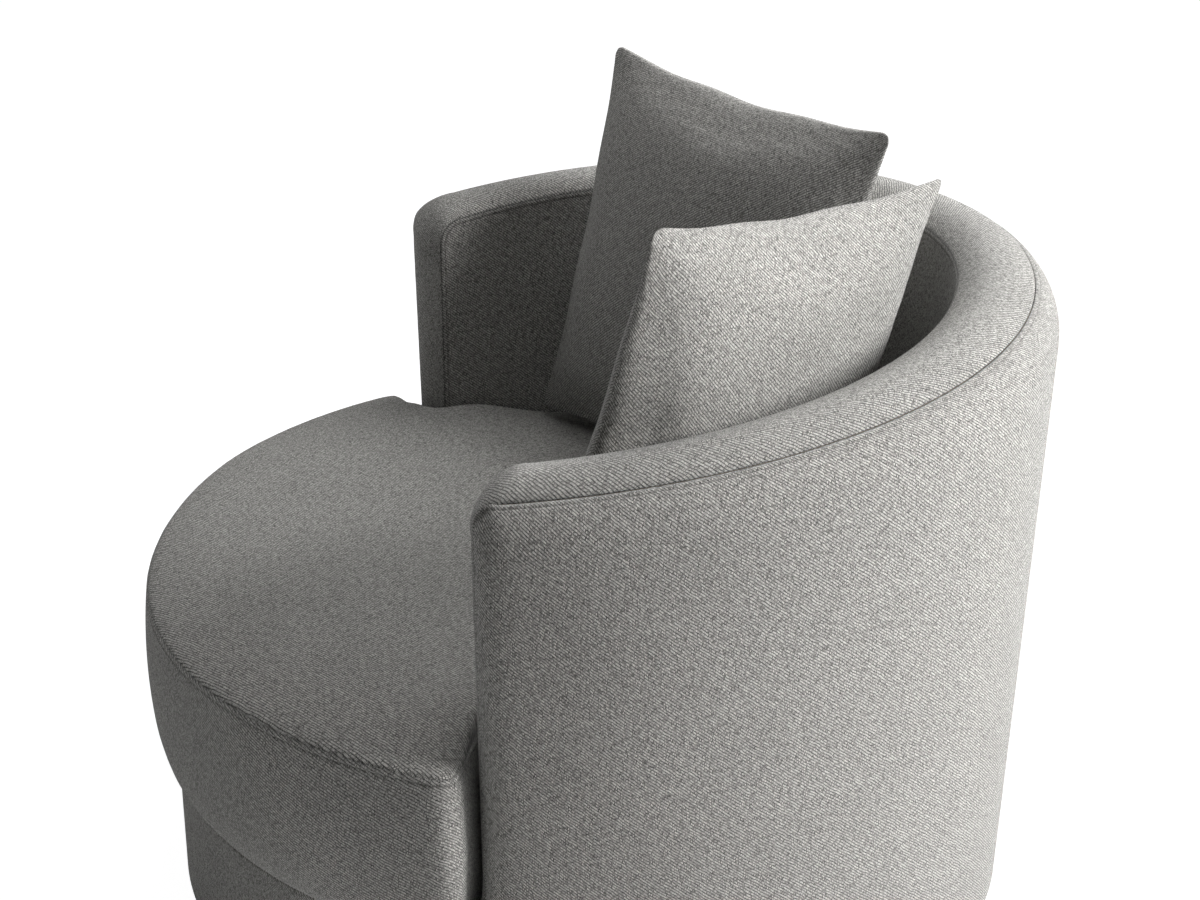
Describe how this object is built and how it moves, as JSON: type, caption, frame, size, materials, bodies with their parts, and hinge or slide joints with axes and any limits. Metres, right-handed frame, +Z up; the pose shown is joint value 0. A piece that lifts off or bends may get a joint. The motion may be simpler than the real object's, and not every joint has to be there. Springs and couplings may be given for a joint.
{
  "type": "cuddle chair",
  "caption": "Round barrel cuddle chair in grey tweed: padded wrap-round wall with a boxed top band, thick T-shaped seat cushion, loose square pillows, turning on a recessed round plinth.",
  "frame": {"origin": "on the floor at the middle of the chair's overall box, which is the swivel's upright axis", "axes": "+Z up, -Y to the front where the sitter faces, +X to the sitter's left"},
  "size_m": [1.1, 1.1, 0.9962],
  "materials": {
    "fabric": "heathered basket weave, matte",
    "foam": "upholstery foam, matte",
    "felt": "black felt and spun-bonded cloth",
    "timber": "bare plywood and softwood",
    "steel": "zinc plated",
    "nylon": "matte"
  },
  "bodies": {
    "base": {"floor_glide_1": "nylon", "floor_glide_2": "nylon", "floor_glide_3": "nylon", "floor_glide_4": "nylon", "floor_glide_5": "nylon", "floor_glide_6": "nylon", "plinth_board": "timber", "swivel_lower_plate": "steel", "ball_cage": "steel", "swivel_pin": "steel"},
    "chair_body": {"swivel_upper_plate": "steel", "base_ring": "timber", "dust_cover": "felt", "cross_rail_front": "timber", "cross_rail_back": "timber", "upright_1": "timber", "upright_2": "timber", "upright_3": "timber", "upright_4": "timber", "upright_5": "timber", "upright_6": "timber", "upright_7": "timber", "top_rail": "timber", "arm_board_left": "timber", "arm_board_right": "timber", "front_rail": "timber", "seat_board_back_left": "timber", "seat_board_back_right": "timber", "seat_board_front_left": "timber", "seat_board_front_right": "timber", "seat_spring_1": "steel", "spring_clip_front_1": "steel", "spring_clip_back_1": "steel", "seat_spring_2": "steel", "spring_clip_front_2": "steel", "spring_clip_back_2": "steel", "seat_spring_3": "steel", "spring_clip_front_3": "steel", "spring_clip_back_3": "steel", "seat_spring_4": "steel", "spring_clip_front_4": "steel", "spring_clip_back_4": "steel", "seat_spring_5": "steel", "spring_clip_front_5": "steel", "spring_clip_back_5": "steel", "deck_pad": "felt", "deck_cloth": "felt", "outer_cover": "fabric", "inner_cover": "fabric", "inner_pad": "foam", "top_band": "fabric", "front_cover": "fabric"},
    "seat_cushion": {"seat_cushion": "fabric", "cushion_zip": "nylon"},
    "left_pillow": {"left_pillow": "fabric"},
    "right_pillow": {"right_pillow": "fabric"}
  },
  "joints": [
    {"name": "swivel", "type": "hinge", "parent": "base", "child": "chair_body", "pos_m": [0, 0, 0.04], "axis": [0, 0, 1], "continuous": true},
    {"name": "cushion_lift", "type": "slide", "parent": "chair_body", "child": "seat_cushion", "axis": [0, 0, 1], "range_m": [0, 0.3]},
    {"name": "left_pillow_lift", "type": "slide", "parent": "seat_cushion", "child": "left_pillow", "axis": [0, 0, 1], "range_m": [0, 0.3]},
    {"name": "right_pillow_lift", "type": "slide", "parent": "seat_cushion", "child": "right_pillow", "axis": [0, 0, 1], "range_m": [0, 0.3]}
  ]
}
